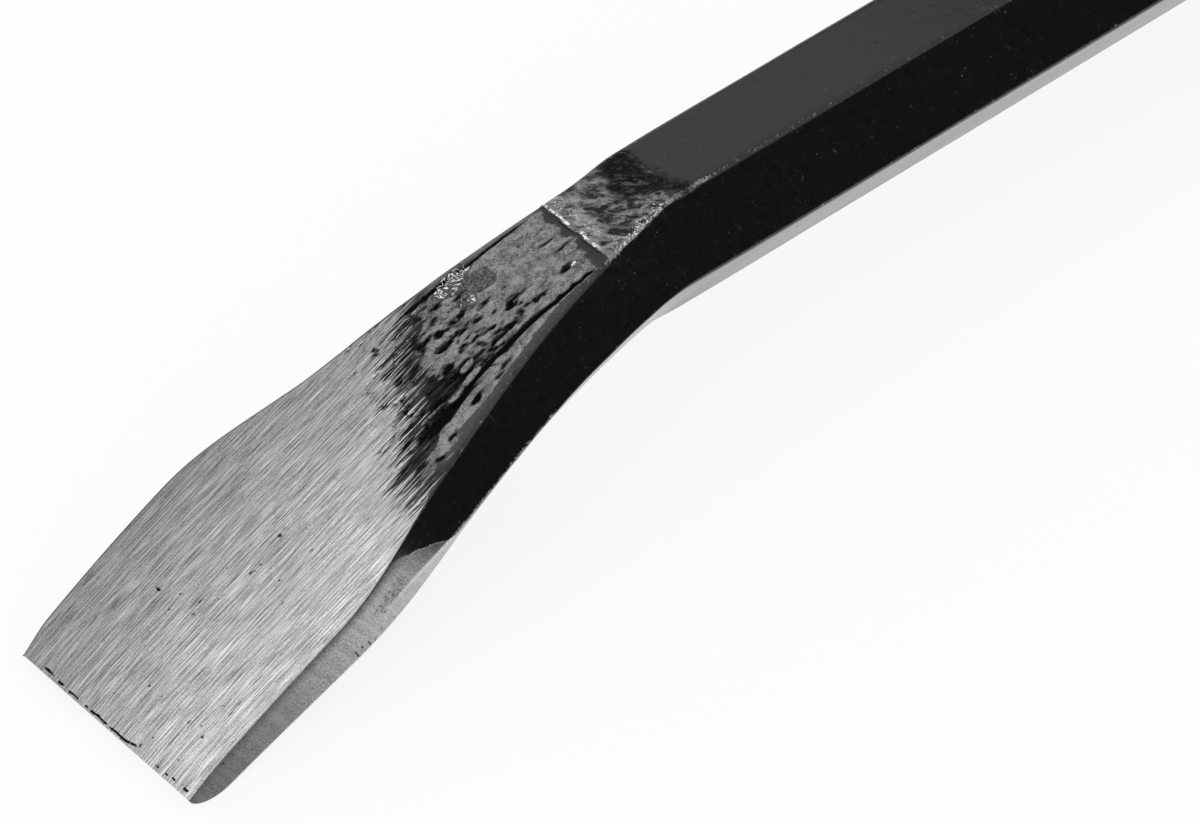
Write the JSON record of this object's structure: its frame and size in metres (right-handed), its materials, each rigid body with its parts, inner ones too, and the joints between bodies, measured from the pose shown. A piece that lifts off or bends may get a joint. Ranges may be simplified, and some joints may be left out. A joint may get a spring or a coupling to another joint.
{
  "type": "nail puller crowbar",
  "caption": "Hexagonal forged steel bar with a bent flat chisel at one end and a gooseneck with a forked nail claw at the other, for prying and pulling nails.",
  "frame": {"origin": "middle of the straight hexagonal shank, on its centre line", "axes": "+X along the shank towards the gooseneck, with the chisel at the -X end. +Z square to the chisel's broad face at the shank, the side to which the gooseneck curls. The bar is symmetric about the plane y = 0."},
  "size_m": [0.6002, 0.034, 0.0993],
  "materials": {
    "ground_steel": "coarsely ground along the blade, bare",
    "black_lacquer": "satin black lacquer over forging scale, chipped along the edges"
  },
  "bodies": {
    "root": {"chisel_blade": "ground_steel", "chisel_neck": "black_lacquer", "shank": "black_lacquer", "gooseneck": "black_lacquer", "claw_root": "black_lacquer", "nail_claw": "ground_steel"}
  },
  "joints": []
}
